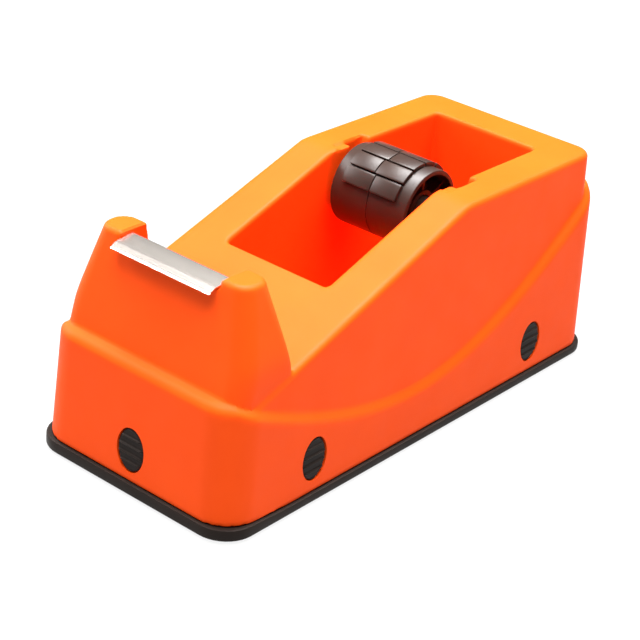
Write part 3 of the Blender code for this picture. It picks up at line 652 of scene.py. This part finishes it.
blade = make_blade()
bm = bmesh.new()
bm.from_mesh(blade.data)
bmesh.ops.recalc_face_normals(bm, faces=bm.faces)
bm.to_mesh(blade.data)
bm.free()
fit(smooth(blade, 8), "housing", "blade_steel", "blade")

# %% [markdown]
# ## The hub and its axle
#
# The hub is moulded in two halves that meet at the middle. Each half is a thin drum with raised
# pads that grip the tape's core, a sleeve that turns on the axle, and six thin spokes. The drum
# and sleeve are turned from a profile, and the pads are blocks bent round the drum. The line
# between the two halves steps from side to side from pad to pad, as the halves lock together.

# %% Drum, sleeve, spokes and pads
DRUM_RADIUS = 11.9
PAD_RADIUS = 13.2
DRUM_BORE = 10.6
SLEEVE_RADIUS = axle_radius + gap + 1.3
PAD_PITCH = math.radians(24)
PADS_IN_ROW, PAD_SLIT, PAD_REACH, PAD_STEP = 5, 0.55, 9.2, 0.45
PAD_START = math.radians(39)
ROW_SPACING = math.radians(229)
PAD_FOOT = 0.3
SPOKES, SPOKE_START, SPOKE_HALF, SPOKE_SINK = 6, 0.5, 0.45, 0.3
SEAM_HALF, SPIGOT = 0.15, 3
left_low, left_high = box_mm("hub_left_half")
right_low, right_high = box_mm("hub_right_half")
hub_seam = (left_low[1] + SPIGOT + right_high[1]) / 2
hub_end = {1: left_high[1], -1: right_low[1]}


def ring_piece(bm, profile, steps=96):
    """Turn a closed profile of (radius, y) points about the axle's line."""
    rings = []
    for step in range(steps):
        angle = 2 * math.pi * step / steps
        rings.append([bm.verts.new((r * math.cos(angle), y, r * math.sin(angle))) for r, y in profile])
    for i in range(steps):
        a, b = rings[i], rings[(i + 1) % steps]
        for k in range(len(profile)):
            m = (k + 1) % len(profile)
            bm.faces.new((a[k], a[m], b[m], b[k]))


def rounded_profile(inner, outer, y0, y1, soft):
    """A wall between two radii, from y0 to y1, with its outer edge at y1 rounded."""
    way = math.copysign(1, y1 - y0)
    return [
        (outer - soft, y1),
        (outer - soft * 0.3, y1 - soft * 0.3 * way),
        (outer, y1 - soft * way),
        (outer, y0),
        (inner, y0),
        (inner, y1),
    ]


def bent_block(bm, angles, radii, y0, y1):
    """A block bent round the drum, through the given angles."""
    rows = [
        [bm.verts.new((r * math.cos(a), y, r * math.sin(a))) for r in radii for y in (y0, y1)]
        for a in angles
    ]
    for a, b in zip(rows, rows[1:]):
        for p, q in ((0, 1), (1, 3), (3, 2), (2, 0)):
            bm.faces.new((a[p], a[q], b[q], b[p]))
    for row in (rows[0], rows[-1]):
        bm.faces.new((row[0], row[1], row[3], row[2]))


def flat_spoke(bm, angle, y0, y1):
    """A thin plate from the sleeve to the drum, sunk a little into both."""
    r0, r1 = SLEEVE_RADIUS - SPOKE_SINK, DRUM_BORE + SPOKE_SINK
    across = Vector((-math.sin(angle), 0, math.cos(angle))) * SPOKE_HALF
    out = Vector((math.cos(angle), 0, math.sin(angle)))
    corners = [
        bm.verts.new(out * r + across * s + Vector((0, y, 0)))
        for r in (r0, r1) for s in (-1, 1) for y in (y0, y1)
    ]
    for quad in ((0, 1, 3, 2), (4, 6, 7, 5), (0, 4, 5, 1), (2, 3, 7, 6), (0, 2, 6, 4), (1, 5, 7, 3)):
        bm.faces.new([corners[i] for i in quad])


def make_drum(name, side):
    seam, end = hub_seam + side * SEAM_HALF, hub_end[side]
    bm = bmesh.new()
    ring_piece(bm, rounded_profile(DRUM_BORE, DRUM_RADIUS, seam, end, 0.5))
    ring_piece(bm, rounded_profile(axle_radius + gap, SLEEVE_RADIUS, seam, end - side * 2.5, 0.3))
    for spoke in range(SPOKES):
        angle = spoke * 2 * math.pi / SPOKES + SPOKE_START
        flat_spoke(bm, angle, seam + side * 3.3, end - side * 2.9)
    return smooth(bmesh_piece(name, bm), 30)


def make_pads(name, side):
    seam = hub_seam + side * SEAM_HALF
    slit = PAD_SLIT / PAD_RADIUS
    bm = bmesh.new()
    for row in range(2):
        for index in range(PADS_IN_ROW):
            step_over = PAD_STEP * (1 if (index + row) % 2 else -1)
            start = PAD_START + row * ROW_SPACING + index * PAD_PITCH + slit / 2
            angles = np.linspace(start, start + PAD_PITCH - slit, 9)
            radii = (DRUM_RADIUS - PAD_FOOT, PAD_RADIUS)
            bent_block(bm, angles, radii, seam + step_over, seam + side * PAD_REACH)
    return smooth(soften(bmesh_piece(name, bm), 0.2, 2, 50), 30)


hub_place = Vector((hub_x, 0, hub_z)) * MM
for side, node in ((1, "hub_left_half"), (-1, "hub_right_half")):
    for piece in (make_drum(f"{node}_drum", side), make_pads(f"{node}_drum_pads", side)):
        piece.location = hub_place
        fit(piece, "hub", "hub_plastic", node)

# %% [markdown]
# ## The tray
#
# Only the tray's rim shows under the housing, as a dark band that is a little thicker at the
# front. It is a shallow pan, so it is made as one closed loft: rings of points go up the outside,
# over the rim and down into the pan. The rings follow the rim's line, and small steps between
# them round its edges.

# %% Make the tray
TRAY_CORNER = 9.3
RIM_ROUND, RIM_SOFT = 0.5, 0.15
LIP_INSET, LIP_CORNER_LOSS = 3.4, 3.0
PAN_INSET, PAN_CORNER_LOSS, PAN_FLOOR = 4.8, 4.0, 2
SIDE_POINTS = 24


def plan_ring(inset, radius, height, steps=10):
    """Points round the base's plan, drawn in by inset, at a height that may follow the rim."""
    ring = []
    corners = [(1, 1, 0), (-1, 1, 90), (-1, -1, 180), (1, -1, 270)]
    for sx, sy, start in corners:
        cx = sx * (back - inset - radius)
        cy = sy * (half_base - inset - radius)
        for step in range(steps + 1):
            a = math.radians(start + 90 * step / steps)
            ring.append((cx + radius * math.cos(a), cy + radius * math.sin(a)))
        if (sx, sy) in ((1, 1), (-1, -1)):
            length = 2 * (back - inset - radius)
            for i in range(1, SIDE_POINTS):
                ring.append((cx - sx * length * i / SIDE_POINTS, sy * (half_base - inset)))
    return [(x, y, height(x) if callable(height) else height) for x, y in ring]


def skin(rings):
    """Join rings of points, one after the other, and close both ends."""
    points = [p for ring in rings for p in ring]
    count = len(rings[0])
    faces = []
    for level in range(len(rings) - 1):
        for i in range(count):
            j = (i + 1) % count
            a, b = level * count, (level + 1) * count
            faces.append((a + i, a + j, b + j, b + i))
    faces.append(tuple(reversed(range(count))))
    faces.append(tuple(range((len(rings) - 1) * count, len(rings) * count)))
    return points, faces


foot_z = tray_low[2]
lip_top = tray_high[2]
tray_rings = [
    plan_ring(RIM_ROUND, TRAY_CORNER - RIM_ROUND, foot_z),
    plan_ring(RIM_SOFT, TRAY_CORNER - RIM_SOFT, foot_z + RIM_SOFT),
    plan_ring(0, TRAY_CORNER, foot_z + RIM_ROUND),
    plan_ring(0, TRAY_CORNER, lambda x: rim_z(x) - RIM_ROUND),
    plan_ring(RIM_SOFT, TRAY_CORNER - RIM_SOFT, lambda x: rim_z(x) - RIM_SOFT),
    plan_ring(RIM_ROUND, TRAY_CORNER - RIM_ROUND, rim_z),
    plan_ring(LIP_INSET, TRAY_CORNER - LIP_CORNER_LOSS, rim_z),
    plan_ring(LIP_INSET, TRAY_CORNER - LIP_CORNER_LOSS, lip_top),
    plan_ring(PAN_INSET, TRAY_CORNER - PAN_CORNER_LOSS, lip_top),
    plan_ring(PAN_INSET, TRAY_CORNER - PAN_CORNER_LOSS, foot_z + PAN_FLOOR),
]
tray = smooth(mesh_piece("tray_pan", *skin(tray_rings)), 40)
fit(tray, "housing", "dark_plastic", "base_tray")

# %% [markdown]
# ## The latch buttons
#
# Each latch is a springy tongue that stands on the tray. Its oval head fills a hole in the skirt,
# and ribs across the head give a fingernail some grip. The head is built as rows of points whose
# depth goes in and out like the ribs, so that the ribs are rounded and not just cut.

# %% Make the latches
RIB_PITCH, RIB_HEIGHT = 2.3, 0.5
HEAD_DEPTH, HEAD_SINK, HEAD_LEAN = 3.0, 0.1, math.radians(-2)
FACE_SINK, FACE_ROUND = 0.12, 0.2
TONGUE_WIDTH, TONGUE_HEIGHT, TONGUE_THICKNESS = 8.4, 17, 1.3
TONGUE_SETBACK, HINGE_RADIUS = 0.3, 0.65
hinge_z = foot_z + PAN_FLOOR + gap + HINGE_RADIUS


def head_depth(across, up):
    """How far out the head's face stands at a point, from -1 to 1 across and up."""
    inside = max(1 - across**2 - up**2, 0)
    rib = max(math.cos(2 * math.pi * (up * HEAD_HEIGHT / 2 / RIB_PITCH - 0.5)), 0) ** 3
    return RIB_HEIGHT * rib * min(1, inside * 4) - FACE_SINK - FACE_ROUND * (1 - min(1, inside * 7))


def make_latch(name):
    """The latch in its own frame: +X out through the skirt, the hinge at the origin's height."""
    rows, columns = 110, 22
    rings = []
    for row in range(rows + 1):
        up = -0.996 * math.cos(math.pi * row / rows)
        half = math.sqrt(1 - up**2)
        ring = []
        for column in range(columns + 1):
            across = -half * math.cos(math.pi * column / columns)
            y, z = across * HEAD_WIDTH / 2, HEAD_Z + up * HEAD_HEIGHT / 2
            ring.append((head_depth(across, up), y, z))
        for across in (half, -half):
            ring.append((-HEAD_DEPTH, across * HEAD_WIDTH / 2, HEAD_Z + up * HEAD_HEIGHT / 2))
        rings.append(ring)
    points, faces = skin(rings)
    bm = bmesh.new()
    verts = [bm.verts.new(point) for point in points]
    for face in faces:
        bm.faces.new([verts[i] for i in face])
    tongue = bmesh.ops.create_cube(bm, size=1)["verts"]
    bmesh.ops.scale(bm, vec=(TONGUE_THICKNESS, TONGUE_WIDTH, TONGUE_HEIGHT), verts=tongue)
    middle = (-HEAD_DEPTH - TONGUE_SETBACK, 0, hinge_z + TONGUE_HEIGHT / 2)
    bmesh.ops.translate(bm, vec=middle, verts=tongue)
    return bmesh_piece(name, bm)


BODIES = frame["record"]["behaviour"]["bodies"]
depth = RIM_STEP + (HEAD_Z - skirt_z) * TAN_SKIRT + HEAD_SINK
for latch in LATCHES:
    button = smooth(make_latch(f"{latch}_button"), 60)
    lean = Matrix.Translation((0, 0, HEAD_Z * MM)) @ Matrix.Rotation(HEAD_LEAN, 4, "Y")
    lean = lean @ Matrix.Translation((0, 0, -HEAD_Z * MM))
    turn = Matrix.Rotation(math.radians(latch_turn(latch)), 4, "Z")
    spot = latch_spot(latch) * MM
    if latch_turn(latch) in (0, 180):
        spot = Vector((math.copysign((back - depth) * MM, spot.x), 0, 0))
    else:
        spot = Vector((spot.x, math.copysign((half_base - depth) * MM, spot.y), 0))
    button.matrix_world = Matrix.Translation(spot) @ turn @ lean
    body = next(name for name, members in BODIES.items() if latch in members)
    fit(button, body, "dark_plastic", latch)

# %% [markdown]
# ## Finishes
#
# The housing, the tray and the latches are satin moulded plastic with a very fine grain, and the
# hub is smoother and shines more. The colour and the roughness drift a little over each piece, as
# they do in a real moulding. All of this is made from noise in the piece's own space, so the
# finish stays on the piece from every side.

# %% Moulded plastic


def node(tree, kind, **settings):
    made = tree.nodes.new(kind)
    for name, value in settings.items():
        if name in made.inputs:
            made.inputs[name].default_value = value
        else:
            setattr(made, name, value)
    return made


def fresh(name, metallic=0.0):
    material = bpy.data.materials.new(name)
    material.use_nodes = True
    shader = material.node_tree.nodes["Principled BSDF"]
    shader.inputs["Metallic"].default_value = metallic
    return material, material.node_tree, shader


def varied(tree, low, high, scale, detail=3, stretch=(1, 1, 1)):
    """A noise in the piece's own space, as a value between low and high."""
    where = node(tree, "ShaderNodeTexCoord")
    placed = node(tree, "ShaderNodeMapping", Scale=stretch)
    noise = node(tree, "ShaderNodeTexNoise", Scale=scale, Detail=detail)  # mostly 0.3 to 0.7
    spread = tree.nodes.new("ShaderNodeMapRange")
    spread.inputs["From Min"].default_value = 0.3
    spread.inputs["From Max"].default_value = 0.7
    spread.inputs["To Min"].default_value = low
    spread.inputs["To Max"].default_value = high
    tree.links.new(where.outputs["Object"], placed.inputs["Vector"])
    tree.links.new(placed.outputs["Vector"], noise.inputs["Vector"])
    tree.links.new(noise.outputs["Fac"], spread.inputs["Value"])
    return spread.outputs["Result"]


def tinted(tree, value, dark, light):
    ramp = tree.nodes.new("ShaderNodeValToRGB")
    ramp.color_ramp.elements[0].color = (*dark, 1)
    ramp.color_ramp.elements[1].color = (*light, 1)
    tree.links.new(value, ramp.inputs["Fac"])
    return ramp.outputs["Color"]


def bumped(tree, shader, value, distance):
    bump = tree.nodes.new("ShaderNodeBump")
    bump.inputs["Strength"].default_value = 0.35
    bump.inputs["Distance"].default_value = distance * MM
    tree.links.new(value, bump.inputs["Height"])
    tree.links.new(bump.outputs["Normal"], shader.inputs["Normal"])


def moulded_plastic(name, dark, light, rough, grain, shine=0.5):
    material, tree, shader = fresh(name)
    tint = tinted(tree, varied(tree, 0, 1, 60), dark, light)
    tree.links.new(tint, shader.inputs["Base Color"])
    tree.links.new(varied(tree, *rough, 140), shader.inputs["Roughness"])
    bumped(tree, shader, varied(tree, 0, 1, 2200, 2), grain)
    shader.inputs["IOR"].default_value = 1.46
    shader.inputs["Specular IOR Level"].default_value = shine
    return material


orange_plastic = moulded_plastic(
    "orange_plastic", (0.94, 0.074, 0.003), (0.97, 0.081, 0.004), (0.46, 0.54), 0.03, 0.1
)
dark_plastic = moulded_plastic(
    "dark_plastic", (0.015, 0.010, 0.008), (0.022, 0.015, 0.012), (0.42, 0.52), 0.02, 0.12
)
hub_plastic = moulded_plastic(
    "hub_plastic", (0.024, 0.012, 0.009), (0.034, 0.018, 0.013), (0.32, 0.40), 0.02, 0.36
)
foot_rubber = moulded_plastic(
    "foot_rubber", (0.016, 0.016, 0.016), (0.026, 0.026, 0.026), (0.7, 0.85), 0.05
)

# %% [markdown]
# Metals need two more finishes. The blade is bright, with faint rolling marks that run along the
# strip, so its noise is stretched that way, as much as a hundred times. The two weights are hidden
# in the base, but they show in an exploded view, so they get a rough cast skin.

# %% Rolled steel and cast iron


def rolled_steel():
    material, tree, shader = fresh("blade_steel", 1.0)
    lines = varied(tree, 0, 1, 900, 4, (1, 0.01, 1))
    tint = tinted(tree, lines, (0.62, 0.57, 0.52), (0.66, 0.61, 0.56))
    tree.links.new(tint, shader.inputs["Base Color"])
    tree.links.new(varied(tree, 0.25, 0.275, 700, 3, (1, 0.02, 1)), shader.inputs["Roughness"])
    return material


def cast_iron():
    material, tree, shader = fresh("ballast_iron", 0.8)
    tint = tinted(tree, varied(tree, 0, 1, 180), (0.045, 0.045, 0.048), (0.085, 0.083, 0.08))
    tree.links.new(tint, shader.inputs["Base Color"])
    tree.links.new(varied(tree, 0.5, 0.75, 200), shader.inputs["Roughness"])
    bumped(tree, shader, varied(tree, 0, 1, 500), 0.2)
    return material


FINISHES = {
    "orange_plastic": orange_plastic,
    "dark_plastic": dark_plastic,
    "hub_plastic": hub_plastic,
    "foot_rubber": foot_rubber,
    "blade_steel": rolled_steel(),
    "ballast_iron": cast_iron(),
}
slot_of = {s["node"]: s["material_slot"] for s in frame["record"]["subparts"]}
for name, cad_node in frame["nodes"].items():
    cad_node.data.materials.clear()
    cad_node.data.materials.append(FINISHES[slot_of[name]])
for piece in bpy.context.scene.objects:
    if piece.type == "MESH" and "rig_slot" in piece:
        piece.data.materials.clear()
        piece.data.materials.append(FINISHES[piece["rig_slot"]])
print("finishes:", ", ".join(FINISHES))

# %% [markdown]
# ## Table, light and camera
#
# The dispenser stands on a plain white table in a bright room. A very large soft lamp and a
# smaller one overhead give the light top faces. One behind and one on the far side reach into the
# well, and the glow of the white table keeps the upright faces a deeper orange.

# %% Table and lamps
TABLE_HALF = 2500
bm = bmesh.new()
bmesh.ops.create_grid(bm, x_segments=8, y_segments=8, size=TABLE_HALF)
floor = bmesh_piece("floor", bm)
floor_material, _, floor_shader = fresh("white_table")
floor_shader.inputs["Roughness"].default_value = 0.9
floor_shader.inputs["Base Color"].default_value = (0.06, 0.06, 0.06, 1)
floor_shader.inputs["Emission Color"].default_value = (1, 1, 1, 1)
floor_shader.inputs["Emission Strength"].default_value = 0.85
floor.data.materials.append(floor_material)


def lamp(name, place, size, watts):
    """A round soft lamp that points at the middle of the dispenser."""
    light = bpy.data.lights.new(name, "AREA")
    light.shape = "DISK"
    light.size = size
    light.energy = watts
    made = bpy.data.objects.new(name, light)
    bpy.context.scene.collection.objects.link(made)
    made.location = place
    aim = Vector((0, 0, 0.03)) - Vector(place)
    made.rotation_euler = aim.to_track_quat("-Z", "Y").to_euler()
    print("lamp:", name, "-", watts, "W")


lamp("overhead", (-0.06, -0.02, 0.9), 0.9, 24)
lamp("spot", (0.12, 0.22, 0.9), 0.4, 12.5)
lamp("back", (0.42, -0.05, 0.8), 0.5, 8)
lamp("far side", (-0.15, 0.85, 0.45), 0.6, 9)
world = bpy.data.worlds.new("studio")
world.use_nodes = True
world.node_tree.nodes["Background"].inputs["Color"].default_value = (1, 1, 1, 1)
world.node_tree.nodes["Background"].inputs["Strength"].default_value = 0.15
bpy.context.scene.world = world

# %% [markdown]
# The camera looks down at the front right corner from about half a metre away, through a long
# lens, so the dispenser's upright edges stay nearly parallel. The standard view keeps the plastic's
# strong orange, which a filmic one would wash out.

# %% Camera
lens = bpy.data.cameras.new("camera")
lens.lens = 106.072
lens.sensor_width = 36
lens.clip_start = 0.01
camera = bpy.data.objects.new("camera", lens)
bpy.context.scene.collection.objects.link(camera)
camera.location = (-0.3757555, -0.2815169, 0.2632004)
camera.rotation_euler = [math.radians(a) for a in (62.692175, -5.156128, -49.904925)]
bpy.context.scene.camera = camera
bpy.context.scene.view_settings.view_transform = "Standard"
print("camera distance:", round(camera.location.length, 2), "m")
